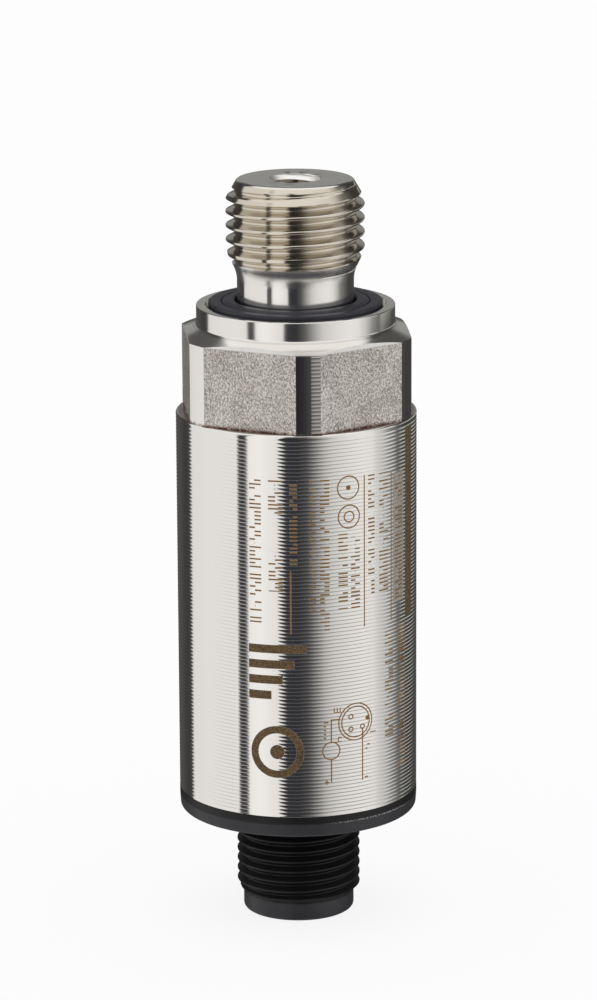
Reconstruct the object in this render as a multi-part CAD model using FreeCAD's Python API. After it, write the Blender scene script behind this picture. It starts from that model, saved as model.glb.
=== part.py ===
import FreeCAD, Part
import math
import os
from FreeCAD import Vector

os.makedirs("parts", exist_ok=True)

# A pressure transmitter with a G1/4 A stud end at the top and an M12 x 1 connector below.
# Millimetres. The origin is the centre of the collar's sealing face, and +Z points out
# through the process thread. Two corners of the hexagon lie on the Y axis.

# ---- Pressure port: stud, neck and sealing collar ----
stud_length = 12.0              # sealing face to the end of the stud
thread_diameter = 13.157        # G1/4
thread_pitch = 1.337
thread_depth = 0.6403 * thread_pitch        # Whitworth form
thread_half_angle = 27.5
thread_turns = 5                # full ridges
end_chamfer_depth = 1.08        # radial depth of the chamfer at the stud's end
end_chamfer_angle = 30.0        # from the axis
thread_end_space = 2.06         # stud's end to the crest of the first full ridge
run_out_height = 0.6            # cone between the last ridge and the neck
run_out_rise = 0.23             # height of that cone's shoulder over the thread's root
neck_relief = 0.17              # neck below the thread's root, radially
bore_thread_diameter = 5.0      # mouth of the M5 tapping in the stud
bore_tap_diameter = 4.2         # tapping drill of M5
bore_tap_depth = 8.0
bore_diameter = 3.0             # drilling from the tapping to the cell
drill_angle = 59.0              # of a drill's point, from the axis
collar_height = 1.82
collar_rim_width = 0.85
collar_rim_round = 0.1
collar_foot_round = 0.2
groove_depth = 1.1              # seal groove below the sealing face

# ---- Profile seal ----
seal_inner_gap = 0.25
seal_outer_gap = 0.35
seal_width = 2.45
seal_lip_height = 0.5           # inner lip above the sealing face
seal_edge_height = 0.38         # outer edge above the sealing face
seal_dish = 0.14                # hollow between the two
seal_round = 0.2

# ---- Ceramic cell and what holds it ----
cell_diameter = 18.0
cell_gap = 0.1                  # around the cell, radially
diaphragm_thickness = 0.6
cell_base_thickness = 5.2
cell_base_round = 0.2
cell_face_depth = 6.1           # sealing face to the cell's face
face_gap = 0.1                  # pocket floor to the cell's face
chamber_diameter = 10.4         # shallow chamber in front of the diaphragm
chamber_depth = 0.4
o_ring_groove_inner = 11.4      # diameter
o_ring_groove_width = 2.0
o_ring_groove_depth = 1.1
o_ring_side_gap = 0.06
o_ring_side_round = 0.45        # share of the squeezed ring's thickness
support_ring_width = 2.0
support_ring_thickness = 0.8
clamp_ring_width = 2.45
clamp_ring_thickness = 1.7
clamp_slot_width = 1.5
clamp_slot_depth = 0.8
fit_gap = 0.03                  # between pieces that are pressed, screwed or cast together

# ---- Hexagon, spigot and housing sleeve ----
port_wall = 1.57                # around the cell
spigot_end_space = 0.1          # clamp ring to the end of the spigot
spigot_round = 0.2
hexagon_end_depth = 10.25       # sealing face to the shoulder that the sleeve is welded to
hexagon_chamfer_angle = 22.5    # from the horizontal
sleeve_wall = 0.8
sleeve_length = 37.25
sleeve_round = 0.25             # edge beside the hexagon
sleeve_end_round = 0.1          # edge beside the cap
flat_step = 1.0                 # sleeve's surface to the hexagon's flats

# ---- End cap and M12 connector ----
cap_thickness = 2.0
cap_band = 0.7                  # straight part of the cap's side
cap_draft = 0.08                # taper of the rest, radially
cap_edge_round = 0.4
cap_spigot_length = 4.5
cap_spigot_gap = 0.08
cap_wall = 2.0
cap_spigot_round = 0.2
cap_groove_width = 1.9
cap_groove_depth = 1.1
cap_groove_space = 1.3          # end of the spigot to the groove
connector_length = 10.5         # cap to the connector's end
connector_diameter = 11.94      # M12 x 1
connector_pitch = 1.0
connector_thread_depth = 0.55
connector_half_angle = 30.0
connector_turns = 7
connector_crest = 0.26          # width of the crests
connector_thread_space = 1.38   # cap to the first crest
connector_end_relief = 0.06     # smooth end below the thread's root, radially
connector_lead_slope = 1.3      # of the thread's lower end: height over depth
connector_end_round = 0.4
connector_mouth_chamfer = 0.2
shell_wall = 1.12               # from the thread's root to the cavity
cavity_depth = 8.0
key_width = 1.2
key_height = 0.6
key_start = 0.6                 # connector's end to the key

# ---- Pin carrier, pins and sealing compound ----
carrier_gap = 0.04
carrier_flange_width = 2.6
carrier_flange_thickness = 1.6
pin_diameter = 1.0
pin_circle = 5.0
pin_recess = 1.2                # connector's end to the pins' tips
pin_tip_round = 0.3
pin_gap = 0.02
pin_tab_thickness = 0.5
pin_tab_width = 0.9
pin_tab_overlap = 2.6           # along the board
potting_thickness = 1.3

# ---- Board cradle and circuit board ----
cradle_gap = 0.1
cradle_wall = 0.8
cradle_ring_height = 2.0
cradle_window_width = 15.0
cradle_rail_wall = 0.9
board_thickness = 1.0
board_edge_space = 1.8          # cradle's bore to the board's edge
board_slot_depth = 0.8
board_slot_gap = 0.1
board_top_space = 2.6           # spigot's end to the board
board_bottom_space = 1.0        # board to the cap's spigot
lead_diameter = 0.5
lead_spacing = 4.8
lead_overlap = 2.4
solder_gap = 0.05

# ---- Electronic parts: width, height along the board, thickness ----
chip_size = (4.4, 5.0, 1.0)
chip_lead_count = 8             # on each side
chip_lead_size = (1.0, 0.22, 0.15)
chip_lead_pitch = 0.65
chip_offset = 3.0               # board's middle to the chip's middle
driver_size = (6.5, 3.5, 1.6)
driver_lead_size = (0.7, 1.6, 0.25)
driver_lead_pitch = 2.3
driver_offset = -4.5
diode_size = (4.3, 2.6, 2.0)
diode_offset = -5.2
diode_spacing = 3.4
capacitor_size = (2.0, 1.25, 1.0)
capacitor_spacing = (4.0, 2.4)
capacitor_offset = 3.4
resistor_size = (1.6, 0.8, 0.45)
resistor_spacing = 1.5
resistor_column = 5.2           # board's middle line to the resistors
resistor_offset = 3.0

# ---- Places that follow from the sizes above ----
thread_radius = thread_diameter / 2
thread_root_radius = thread_radius - thread_depth
thread_flank = thread_depth * math.tan(math.radians(thread_half_angle))
thread_crest = (thread_pitch - 2 * thread_flank) / 2
first_crest = stud_length - thread_end_space
last_crest = first_crest - (thread_turns - 1) * thread_pitch
run_out_top = last_crest - thread_crest / 2 - thread_flank - thread_crest
neck_top = run_out_top - run_out_rise - run_out_height
neck_radius = thread_root_radius - neck_relief
seal_inner_radius = neck_radius + seal_inner_gap
seal_outer_radius = seal_inner_radius + seal_width
groove_radius = seal_outer_radius + seal_outer_gap
collar_radius = groove_radius + collar_rim_width

cell_radius = cell_diameter / 2
pocket_radius = cell_radius + cell_gap
spigot_radius = pocket_radius + port_wall
sleeve_inner_radius = spigot_radius + fit_gap
sleeve_radius = sleeve_inner_radius + sleeve_wall
flat_radius = sleeve_radius - flat_step
pocket_floor = -(cell_face_depth - face_gap)
cell_face = -cell_face_depth
cell_joint = cell_face - diaphragm_thickness
cell_back = cell_joint - cell_base_thickness
support_ring_end = cell_back - support_ring_thickness
clamp_ring_end = support_ring_end - clamp_ring_thickness
spigot_end = clamp_ring_end - spigot_end_space
hexagon_end = -hexagon_end_depth
hexagon_cone = (sleeve_radius - collar_radius) * math.tan(math.radians(hexagon_chamfer_angle))

sleeve_end = hexagon_end - sleeve_length
cap_spigot_top = sleeve_end + cap_spigot_length
cap_spigot_radius = sleeve_inner_radius - cap_spigot_gap
cap_pocket_radius = cap_spigot_radius - cap_wall
cap_groove_top = cap_spigot_top - cap_groove_space
cap_groove_radius = cap_spigot_radius - cap_groove_depth
cap_end = sleeve_end - cap_thickness
connector_end = cap_end - connector_length
connector_radius = connector_diameter / 2
connector_root_radius = connector_radius - connector_thread_depth
connector_flank = connector_thread_depth * math.tan(math.radians(connector_half_angle))
connector_first_crest = cap_end - connector_thread_space
connector_end_radius = connector_root_radius - connector_end_relief
cavity_radius = connector_root_radius - shell_wall
cavity_floor = connector_end + cavity_depth

carrier_radius = cavity_radius - carrier_gap
carrier_flange_radius = carrier_radius + carrier_flange_width
carrier_top = sleeve_end + carrier_flange_thickness
potting_top = carrier_top + potting_thickness
pin_offset = pin_circle / 2 * math.sin(math.radians(45))
pin_radius = pin_diameter / 2

cradle_radius = sleeve_inner_radius - cradle_gap
cradle_inner_radius = cradle_radius - cradle_wall
cradle_top = spigot_end
board_half_width = cradle_inner_radius - board_edge_space
board_face = board_thickness / 2
board_top = spigot_end - board_top_space
board_bottom = cap_spigot_top + board_bottom_space
board_middle = (board_top + board_bottom) / 2


def corner_arc(before, corner, after, rounding):
    """Start, middle and end of the arc that rounds one corner of an outline."""
    to_before = (before - corner).normalize()
    to_after = (after - corner).normalize()
    half_angle = to_before.getAngle(to_after) / 2
    bisector = (to_before + to_after).normalize()
    reach = rounding / math.tan(half_angle)
    depth = rounding / math.sin(half_angle) - rounding
    return corner + to_before * reach, corner + bisector * depth, corner + to_after * reach


def turned(corners):
    """Solid of revolution about Z. A corner is (radius, height) or (radius, height, rounding)."""
    points = [Vector(corner[0], 0, corner[1]) for corner in corners]
    arrivals = list(points)
    departures = list(points)
    edges = []
    for index, corner in enumerate(corners):
        if len(corner) == 3:
            after = points[(index + 1) % len(points)]
            start, middle, end = corner_arc(points[index - 1], points[index], after, corner[2])
            arrivals[index] = start
            departures[index] = end
            edges.append(Part.Arc(start, middle, end).toShape())
    for index, departure in enumerate(departures):
        edges.append(Part.makeLine(departure, arrivals[(index + 1) % len(points)]))
    outline = Part.Wire(Part.__sortEdges__(edges))
    return Part.Face(outline).revolve(Vector(0, 0, 0), Vector(0, 0, 1), 360)


def ring(inner_radius, outer_radius, low, high):
    """Plain ring or, with no inner radius, a disc."""
    body = Part.makeCylinder(outer_radius, high - low, Vector(0, 0, low))
    if inner_radius > 0:
        body = body.cut(Part.makeCylinder(inner_radius, high - low, Vector(0, 0, low)))
    return body


def block(size, middle):
    """Box from its size and the place of its middle."""
    corner = Vector(middle[0] - size[0] / 2, middle[1] - size[1] / 2, middle[2] - size[2] / 2)
    return Part.makeBox(size[0], size[1], size[2], corner)


def ridges(first, pitch, turns, root, crest, flank, crest_width):
    """Corners of thread ridges on one side of an outline, from the top down."""
    corners = []
    for turn in range(turns):
        middle = first - turn * pitch
        corners.append((root, middle + crest_width / 2 + flank))
        corners.append((crest, middle + crest_width / 2))
        corners.append((crest, middle - crest_width / 2))
        corners.append((root, middle - crest_width / 2 - flank))
    return corners


def threaded_stud():
    """Stud with its ridges, end chamfer, run-out cone and neck."""
    outline = [(0, stud_length), (thread_root_radius, stud_length)]
    outline += ridges(first_crest + thread_pitch, thread_pitch, thread_turns + 1,
                      thread_root_radius, thread_radius, thread_flank, thread_crest)
    outline += [(thread_root_radius, run_out_top),
                (thread_root_radius + run_out_rise, run_out_top - run_out_rise),
                (neck_radius, neck_top), (neck_radius, -groove_depth), (0, -groove_depth)]
    chamfer_rise = end_chamfer_depth / math.tan(math.radians(end_chamfer_angle))
    envelope = turned([(0, stud_length), (thread_radius - end_chamfer_depth, stud_length),
                       (thread_radius, stud_length - chamfer_rise),
                       (thread_radius, -groove_depth), (0, -groove_depth)])
    return turned(outline).common(envelope)


def outside_flats():
    """What is milled off the round blank, between the shoulder and the collar's foot."""
    height = hexagon_end_depth - collar_height
    corner_radius = flat_radius / math.cos(math.radians(30))
    corners = []
    for side in range(6):
        angle = math.radians(60 * side + 30)
        corners.append(Vector(corner_radius * math.cos(angle), corner_radius * math.sin(angle),
                              hexagon_end))
    prism = Part.Face(Part.makePolygon(corners + corners[:1])).extrude(Vector(0, 0, height))
    return ring(0, corner_radius + flat_step, hexagon_end, -collar_height).cut(prism)


def pressure_port():
    """Turned stainless port: stud, neck, collar with seal groove, hexagon and spigot."""
    blank = turned([(0, -groove_depth), (groove_radius, -groove_depth), (groove_radius, 0),
                    (collar_radius, 0, collar_rim_round),
                    (collar_radius, -collar_height, collar_foot_round),
                    (sleeve_radius, -collar_height - hexagon_cone),
                    (sleeve_radius, hexagon_end), (spigot_radius, hexagon_end),
                    (spigot_radius, spigot_end, spigot_round), (0, spigot_end)])
    body = blank.cut(outside_flats()).fuse(threaded_stud())
    return body.cut(port_bores()).removeSplitter()


def port_bores():
    """Tapping, pressure bore, chamber, O-ring groove and cell pocket as one tool."""
    countersink = (bore_thread_diameter - bore_tap_diameter) / 2
    groove_inner = o_ring_groove_inner / 2
    tapping_end = stud_length - bore_tap_depth
    drill_cone = (bore_tap_diameter - bore_diameter) / 2 / math.tan(math.radians(drill_angle))
    bore = turned([(0, stud_length), (bore_thread_diameter / 2, stud_length),
                   (bore_tap_diameter / 2, stud_length - countersink),
                   (bore_tap_diameter / 2, tapping_end),
                   (bore_diameter / 2, tapping_end - drill_cone),
                   (bore_diameter / 2, pocket_floor + chamber_depth),
                   (chamber_diameter / 2, pocket_floor + chamber_depth),
                   (chamber_diameter / 2, pocket_floor), (pocket_radius, pocket_floor),
                   (pocket_radius, spigot_end), (0, spigot_end)])
    groove = ring(groove_inner, groove_inner + o_ring_groove_width,
                  pocket_floor, pocket_floor + o_ring_groove_depth)
    return bore.fuse(groove)


def profile_seal():
    """Rubber seal that lies in the collar's groove and stands proud of the sealing face."""
    middle = (seal_inner_radius + seal_outer_radius) / 2
    return turned([(seal_inner_radius, -groove_depth, seal_round),
                   (seal_outer_radius, -groove_depth, seal_round),
                   (seal_outer_radius, seal_edge_height, seal_round),
                   (middle, seal_edge_height - seal_dish),
                   (seal_inner_radius, seal_lip_height, seal_round)])


def cell_o_ring():
    """O-ring squeezed between the port and the cell's face."""
    inner = o_ring_groove_inner / 2 + o_ring_side_gap
    outer = o_ring_groove_inner / 2 + o_ring_groove_width - o_ring_side_gap
    height = o_ring_groove_depth + face_gap
    round_side = height * o_ring_side_round
    return turned([(inner, cell_face, round_side), (outer, cell_face, round_side),
                   (outer, cell_face + height, round_side),
                   (inner, cell_face + height, round_side)])


def cell_diaphragm():
    """Thin ceramic disc that faces the medium."""
    return ring(0, cell_radius, cell_joint, cell_face)


def cell_base():
    """Thick ceramic disc behind the diaphragm."""
    return turned([(0, cell_joint), (cell_radius, cell_joint),
                   (cell_radius, cell_back, cell_base_round), (0, cell_back)])


def cell_support_ring():
    """Ring that spreads the clamp ring's load over the cell's back."""
    return ring(cell_radius - support_ring_width, cell_radius, support_ring_end, cell_back)


def cell_clamp_ring():
    """Threaded ring that holds the cell, with two slots for a spanner."""
    body = ring(pocket_radius - fit_gap - clamp_ring_width, pocket_radius - fit_gap,
                clamp_ring_end, support_ring_end)
    slot = block((2 * pocket_radius, clamp_slot_width, clamp_slot_depth),
                 (0, 0, clamp_ring_end + clamp_slot_depth / 2))
    return body.cut(slot)


def cell_leads():
    """Four straight leads from the cell's back to both faces of the board."""
    leads = []
    for side_x in (-1, 1):
        for side_y in (-1, 1):
            place = Vector(side_x * lead_spacing / 2,
                           side_y * (board_face + solder_gap + lead_diameter / 2),
                           board_top - lead_overlap)
            length = cell_back - place.z
            leads.append(Part.makeCylinder(lead_diameter / 2, length, place))
    return Part.makeCompound(leads)


def housing_sleeve():
    """Turned stainless tube, welded to the hexagon's shoulder."""
    return turned([(sleeve_inner_radius, hexagon_end), (sleeve_radius, hexagon_end, sleeve_round),
                   (sleeve_radius, sleeve_end, sleeve_end_round),
                   (sleeve_inner_radius, sleeve_end)])


def connector_shell():
    """Outer form of the cap and the M12 shell as one solid."""
    thread_end = connector_first_crest - (connector_turns - 1) * connector_pitch
    lead_out = (connector_crest / 2
                + (connector_radius - connector_end_radius) * connector_lead_slope)
    corners = [(0, cap_spigot_top), (cap_spigot_radius, cap_spigot_top, cap_spigot_round),
               (cap_spigot_radius, cap_groove_top), (cap_groove_radius, cap_groove_top),
               (cap_groove_radius, cap_groove_top - cap_groove_width),
               (cap_spigot_radius, cap_groove_top - cap_groove_width),
               (cap_spigot_radius, sleeve_end), (sleeve_radius, sleeve_end),
               (sleeve_radius, sleeve_end - cap_band),
               (sleeve_radius - cap_draft, cap_end, cap_edge_round),
               (connector_root_radius, cap_end)]
    corners += ridges(connector_first_crest, connector_pitch, connector_turns,
                      connector_root_radius, connector_radius, connector_flank,
                      connector_crest)[:-1]
    corners += [(connector_end_radius, thread_end - lead_out),
                (connector_end_radius, connector_end, connector_end_round),
                (0, connector_end)]
    return turned(corners)


def connector_housing():
    """End cap and M12 shell in one moulding, with its key and the seat of the pin carrier."""
    mouth = cavity_radius + connector_mouth_chamfer
    hollow = turned([(0, cap_spigot_top), (cap_pocket_radius, cap_spigot_top),
                     (cap_pocket_radius, sleeve_end), (cavity_radius, sleeve_end),
                     (cavity_radius, connector_end + connector_mouth_chamfer),
                     (mouth, connector_end), (0, connector_end)])
    key_low = connector_end + key_start
    key_reach = key_height + shell_wall / 2
    key = block((key_width, key_reach, cavity_floor - key_low),
                (0, -(cavity_radius - key_height + key_reach / 2), (cavity_floor + key_low) / 2))
    return connector_shell().cut(hollow).fuse(key).removeSplitter()


def pin_carrier():
    """Insulator of the connector, seated with its flange on the cap's floor."""
    body = turned([(0, carrier_top), (carrier_flange_radius, carrier_top),
                   (carrier_flange_radius, sleeve_end), (carrier_radius, sleeve_end),
                   (carrier_radius, cavity_floor), (0, cavity_floor)])
    for x, y in pin_places():
        body = body.cut(Part.makeCylinder(pin_radius + pin_gap, carrier_top - cavity_floor,
                                          Vector(x, y, cavity_floor)))
    return body


def pin_places():
    """Places of pins 1 to 4, in the order that they are counted round the circle."""
    return [(-pin_offset, -pin_offset), (pin_offset, -pin_offset),
            (pin_offset, pin_offset), (-pin_offset, pin_offset)]


def contact_pin(x, y):
    """Contact pin, with its inner end bent to a tab that lies along the board."""
    side = math.copysign(1, y)
    tip = connector_end + pin_recess
    bend_low = board_bottom - 1.5 * pin_tab_thickness
    tab_inner = board_face + solder_gap
    rod = turned([(0, bend_low), (pin_radius, bend_low), (pin_radius, tip, pin_tip_round),
                  (0, tip)])
    rod.translate(Vector(x, y, 0))
    web_width = abs(y) + pin_radius - tab_inner
    web = block((pin_tab_width, web_width, pin_tab_thickness),
                (x, side * (tab_inner + web_width / 2), bend_low + pin_tab_thickness / 2))
    tab_height = board_bottom + pin_tab_overlap - bend_low
    tab = block((pin_tab_width, pin_tab_thickness, tab_height),
                (x, side * (tab_inner + pin_tab_thickness / 2), bend_low + tab_height / 2))
    return rod.fuse([web, tab]).removeSplitter()


def pin_potting():
    """Resin cast round the carrier's flange and over the pins' inner ends."""
    body = turned([(0, potting_top), (cap_pocket_radius - fit_gap, potting_top),
                   (cap_pocket_radius - fit_gap, sleeve_end),
                   (carrier_flange_radius + fit_gap, sleeve_end),
                   (carrier_flange_radius + fit_gap, carrier_top), (0, carrier_top)])
    for x, y in pin_places():
        body = body.cut(Part.makeCylinder(pin_radius + pin_gap, potting_thickness,
                                          Vector(x, y, carrier_top)))
    return body


def housing_o_ring():
    """O-ring squeezed between the cap's groove and the sleeve."""
    low = cap_groove_top - cap_groove_width + o_ring_side_gap
    high = cap_groove_top - o_ring_side_gap
    inner = cap_groove_radius + fit_gap
    outer = sleeve_inner_radius - fit_gap
    round_side = (outer - inner) * o_ring_side_round
    return turned([(inner, low, round_side), (outer, low, round_side),
                   (outer, high, round_side), (inner, high, round_side)])


def board_cradle():
    """Moulded cradle with an open front and back, and a slotted rail on each side."""
    height = cradle_top - cap_spigot_top
    middle = (cradle_top + cap_spigot_top) / 2
    body = ring(cradle_inner_radius, cradle_radius, cap_spigot_top, cradle_top)
    body = body.cut(block((cradle_window_width, 3 * cradle_radius,
                           height - 2 * cradle_ring_height), (0, 0, middle)))
    rail_width = board_thickness + 2 * (board_slot_gap + cradle_rail_wall)
    rail_inner = board_half_width - board_slot_depth
    slot_width = board_thickness + 2 * board_slot_gap
    slot_end = board_half_width + board_slot_gap
    slot_bottom = board_bottom - board_slot_gap
    core = Part.makeCylinder(cradle_inner_radius + cradle_wall / 2, height,
                             Vector(0, 0, cap_spigot_top))
    for side in (-1, 1):
        rail_reach = cradle_radius - rail_inner
        rail = block((rail_reach, rail_width, height),
                     (side * (rail_inner + rail_reach / 2), 0, middle)).common(core)
        slot = block((slot_end - rail_inner, slot_width, cradle_top - slot_bottom),
                     (side * (rail_inner + slot_end) / 2, 0, (cradle_top + slot_bottom) / 2))
        body = body.fuse(rail).cut(slot)
    return body.removeSplitter()


def circuit_board():
    """Board that stands on edge in the cradle's slots."""
    return block((2 * board_half_width, board_thickness, board_top - board_bottom),
                 (0, 0, board_middle))


def on_board(size, side, x, offset):
    """Box that lies on one face of the board: side is -1 for the front, 1 for the back."""
    return block((size[0], size[2], size[1]),
                 (x, side * (board_face + size[2] / 2), board_middle + offset))


def signal_chip():
    """Signal chip with gull-wing leads, on the front."""
    chip = on_board(chip_size, -1, 0, chip_offset)
    leads = []
    for side_x in (-1, 1):
        for index in range(chip_lead_count):
            x = side_x * (chip_size[0] + chip_lead_size[0]) / 2
            step = (index - (chip_lead_count - 1) / 2) * chip_lead_pitch
            leads.append(on_board(chip_lead_size, -1, x, chip_offset + step))
    return chip.fuse(leads).removeSplitter()


def output_driver():
    """Output transistor with three leads and a wide tab, on the front."""
    package = on_board(driver_size, -1, 0, driver_offset)
    lead_shift = (driver_size[1] + driver_lead_size[1]) / 2
    leads = []
    for index in (-1, 0, 1):
        leads.append(on_board(driver_lead_size, -1, index * driver_lead_pitch,
                              driver_offset - lead_shift))
    tab_size = (2 * driver_lead_pitch - driver_lead_size[0],) + driver_lead_size[1:]
    leads.append(on_board(tab_size, -1, 0, driver_offset + lead_shift))
    return package.fuse(leads).removeSplitter()


def protection_diodes():
    """Two diodes side by side along the board, on the back."""
    diodes = []
    for side in (-1, 1):
        diodes.append(on_board(diode_size, 1, 0, diode_offset + side * diode_spacing / 2))
    return Part.makeCompound(diodes)


def ceramic_capacitors():
    """Six capacitors in two columns, on the back."""
    capacitors = []
    for column in (-1, 1):
        for row in (-1, 0, 1):
            capacitors.append(on_board(capacitor_size, 1, column * capacitor_spacing[0] / 2,
                                       capacitor_offset + row * capacitor_spacing[1]))
    return Part.makeCompound(capacitors)


def chip_resistors():
    """Eight resistors in two columns beside the signal chip, on the front."""
    resistors = []
    for column in (-1, 1):
        for row in range(4):
            resistors.append(on_board(resistor_size, -1, column * resistor_column,
                                      resistor_offset + (row - 1.5) * resistor_spacing))
    return Part.makeCompound(resistors)


pieces = {
    "pressure_port": pressure_port(),
    "profile_seal": profile_seal(),
    "cell_o_ring": cell_o_ring(),
    "cell_diaphragm": cell_diaphragm(),
    "cell_base": cell_base(),
    "cell_support_ring": cell_support_ring(),
    "cell_clamp_ring": cell_clamp_ring(),
    "cell_leads": cell_leads(),
    "housing_sleeve": housing_sleeve(),
    "board_cradle": board_cradle(),
    "circuit_board": circuit_board(),
    "signal_chip": signal_chip(),
    "output_driver": output_driver(),
    "protection_diodes": protection_diodes(),
    "ceramic_capacitors": ceramic_capacitors(),
    "chip_resistors": chip_resistors(),
    "pin_carrier": pin_carrier(),
    "pin_potting": pin_potting(),
    "connector_housing": connector_housing(),
    "housing_o_ring": housing_o_ring(),
}
for number, (x, y) in enumerate(pin_places(), start=1):
    pieces[f"contact_pin_{number}"] = contact_pin(x, y)

for name, shape in pieces.items():
    shape.exportStep(f"parts/{name}.step")
    print(name, shape.isValid(), len(shape.Solids), round(shape.Volume, 2))
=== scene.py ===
import math

import bpy
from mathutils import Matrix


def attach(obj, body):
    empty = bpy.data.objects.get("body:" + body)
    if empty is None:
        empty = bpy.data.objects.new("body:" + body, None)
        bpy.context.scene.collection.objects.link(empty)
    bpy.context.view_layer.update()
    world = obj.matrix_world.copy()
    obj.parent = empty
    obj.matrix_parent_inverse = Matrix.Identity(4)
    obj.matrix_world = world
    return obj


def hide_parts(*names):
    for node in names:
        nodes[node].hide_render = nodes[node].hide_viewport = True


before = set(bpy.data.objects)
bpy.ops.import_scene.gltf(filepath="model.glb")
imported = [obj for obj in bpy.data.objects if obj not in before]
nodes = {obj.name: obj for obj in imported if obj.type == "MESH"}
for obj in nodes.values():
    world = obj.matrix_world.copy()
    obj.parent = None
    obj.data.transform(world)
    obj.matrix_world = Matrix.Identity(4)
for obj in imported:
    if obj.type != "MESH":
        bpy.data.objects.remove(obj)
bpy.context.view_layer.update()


# ---- Pressure port -------------------------------------------------------------------------
# One turned stainless piece: stud with a G1/4 thread outside and an M5 tapping inside, neck,
# sealing collar, hexagon and the spigot that the sleeve is welded over. The round faces are
# left bright from the lathe and the six flats are matt from the mill.

MM = 0.001              # sizes are in millimetres, and Blender's are in metres
WELD = 0.001 * MM       # points nearer than this are one


def start_piece(name):
    """New mesh object in edit mode, with one vertex at the origin selected."""
    bpy.ops.object.select_all(action="DESELECT")
    bpy.ops.mesh.primitive_plane_add(size=MM)
    piece = bpy.context.object
    piece.name = name
    piece.data.name = name
    bpy.ops.object.mode_set(mode="EDIT")
    bpy.ops.mesh.merge(type="CENTER")
    return piece


def draw_outline(points, closed):
    """Moves the one selected vertex to the first point, then extrudes it along the rest."""
    here = (0, 0)
    for index, point in enumerate(points):
        step = ((point[0] - here[0]) * MM, 0, (point[1] - here[1]) * MM)
        if index == 0:
            bpy.ops.transform.translate(value=step)
        else:
            bpy.ops.mesh.extrude_region_move(TRANSFORM_OT_translate={"value": step})
        here = point
    if closed:
        step = ((points[0][0] - here[0]) * MM, 0, (points[0][1] - here[1]) * MM)
        bpy.ops.mesh.extrude_region_move(TRANSFORM_OT_translate={"value": step})
    bpy.ops.mesh.select_all(action="SELECT")
    bpy.ops.mesh.remove_doubles(threshold=WELD)


def lathe(name, points, steps, closed=True):
    """Turns an outline of (radius, height) in millimetres about the Z axis."""
    piece = start_piece(name)
    draw_outline(points, closed)
    bpy.ops.mesh.spin(steps=steps, angle=2 * math.pi, center=(0, 0, 0), axis=(0, 0, 1))
    bpy.ops.mesh.select_all(action="SELECT")
    bpy.ops.mesh.remove_doubles(threshold=WELD)
    bpy.ops.object.mode_set(mode="OBJECT")
    return piece


def rounded(corners, segments=4):
    """Outline from corners (radius, height) or (radius, height, rounding), as a closed loop."""
    points = []
    for index, corner in enumerate(corners):
        if len(corner) == 2:
            points.append(corner)
            continue
        before = corners[index - 1]
        after = corners[(index + 1) % len(corners)]
        to_before = math.atan2(before[1] - corner[1], before[0] - corner[0])
        to_after = math.atan2(after[1] - corner[1], after[0] - corner[0])
        opening = (to_after - to_before + math.pi) % (2 * math.pi) - math.pi
        half = abs(opening) / 2
        bisector = to_before + opening / 2
        centre_reach = corner[2] / math.sin(half)
        centre = (corner[0] + centre_reach * math.cos(bisector),
                  corner[1] + centre_reach * math.sin(bisector))
        sweep = math.copysign(math.pi - 2 * half, opening)
        for step in range(segments + 1):
            angle = bisector + math.pi + sweep * (0.5 - step / segments)
            points.append((centre[0] + corner[2] * math.cos(angle),
                           centre[1] + corner[2] * math.sin(angle)))
    return points


def thread_tooth(crest, root, pitch, flank_angle, crest_round, root_round, segments=5):
    """One pitch of a thread from root to root, as (radius, height) about the crest."""
    side = 1 if crest > root else -1
    lean = math.radians(90 - flank_angle)
    points = []
    for step in range(segments + 1):
        angle = lean * step / segments
        points.append((root + side * root_round * (1 - math.cos(angle)),
                       -pitch / 2 + root_round * math.sin(angle)))
    crest_points = []
    for step in range(segments + 1):
        angle = lean * (1 - step / segments)
        crest_points.append((crest - side * crest_round * (1 - math.cos(angle)),
                             -crest_round * math.sin(angle)))
    low, high = points[-1], crest_points[0]
    for step in range(1, 4):
        share = step / 4
        points.append((low[0] + (high[0] - low[0]) * share, low[1] + (high[1] - low[1]) * share))
    points += crest_points
    mirrored = [(radius, -height) for radius, height in reversed(points[:-1])]
    return points + mirrored


def helical_thread(name, tooth, start, pitch, turns, steps, envelope, low, high):
    """Thread as an open skin between two heights. The crest of the tooth passes +X at start.

    envelope(height, radius) gives the radius that the ends of the thread are turned to.
    """
    piece = start_piece(name)
    draw_outline([(radius, start + height) for radius, height in tooth], closed=False)
    bpy.ops.object.mode_set(mode="OBJECT")
    winding = piece.modifiers.new("winding", "SCREW")
    winding.axis = "Z"
    winding.angle = 2 * math.pi
    winding.screw_offset = pitch * MM
    winding.iterations = turns
    winding.steps = steps
    winding.render_steps = steps
    winding.use_merge_vertices = True
    winding.merge_threshold = WELD
    bpy.ops.object.modifier_apply(modifier=winding.name)
    for vertex in piece.data.vertices:
        radius = math.hypot(vertex.co.x, vertex.co.y) / MM
        share = envelope(vertex.co.z / MM, radius) / radius
        vertex.co.x *= share
        vertex.co.y *= share
    bpy.ops.object.mode_set(mode="EDIT")
    for height, direction in ((high, 1), (low, -1)):
        bpy.ops.mesh.select_all(action="SELECT")
        bpy.ops.mesh.bisect(plane_co=(0, 0, height * MM), plane_no=(0, 0, direction),
                            clear_outer=True, use_fill=False, threshold=WELD)
    bpy.ops.mesh.select_all(action="SELECT")
    bpy.ops.mesh.remove_doubles(threshold=WELD)
    bpy.ops.object.mode_set(mode="OBJECT")
    return piece


def join_pieces(name, pieces):
    """Makes one object of several."""
    bpy.ops.object.select_all(action="DESELECT")
    for piece in pieces:
        piece.select_set(True)
    bpy.context.view_layer.objects.active = pieces[0]
    bpy.ops.object.join()
    joined = bpy.context.object
    joined.name = name
    joined.data.name = name
    return joined


RIM_REACH = 0.004       # how far a rim's points may lie from its height


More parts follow.
